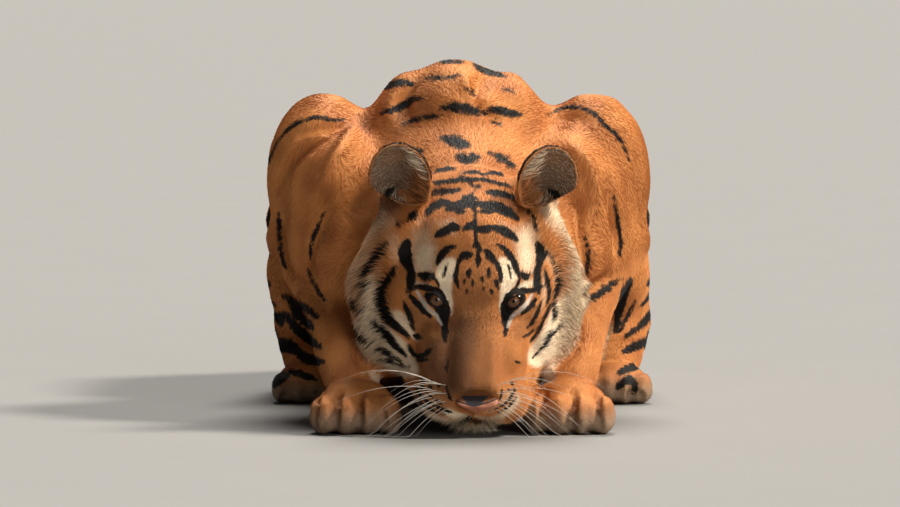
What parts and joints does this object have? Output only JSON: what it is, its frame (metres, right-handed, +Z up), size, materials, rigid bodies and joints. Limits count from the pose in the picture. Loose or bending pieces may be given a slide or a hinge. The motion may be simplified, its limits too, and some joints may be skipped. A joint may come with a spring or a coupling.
{
  "type": "bengal tiger display model",
  "caption": "Life-size still model of a Bengal tiger crouched to drink, elbows out and head low between the front paws, resting on its four feet and tail.",
  "frame": {"origin": "on the floor, under the middle of the whole model from nose to tail tip and from side to side", "axes": "+Z up, -Y the way the tiger faces, +X its left side"},
  "size_m": [0.6457, 2.2649, 0.5609],
  "materials": {
    "coat": "short dense fur, orange with black stripes and cream underside",
    "ear_coat": "short black fur on the back with a pale spot, long pale hair inside",
    "nose_leather": "bare damp skin, pink with a dark upper edge",
    "eye": "polished, amber iris with a round black pupil"
  },
  "bodies": {
    "root": {"belly": "coat", "chest": "coat", "ear_left": "ear_coat", "ear_right": "ear_coat", "eye_left": "eye", "eye_right": "eye", "forearm_left": "coat", "forearm_right": "coat", "front_paw_left": "coat", "front_paw_right": "coat", "head": "coat", "hind_paw_left": "coat", "hind_paw_right": "coat", "lower_jaw": "coat", "neck": "coat", "nose": "nose_leather", "rump": "coat", "shank_left": "coat", "shank_right": "coat", "tail_base": "coat", "tail_middle": "coat", "tail_tip": "coat", "thigh_left": "coat", "thigh_right": "coat", "upper_arm_left": "coat", "upper_arm_right": "coat"}
  },
  "joints": []
}
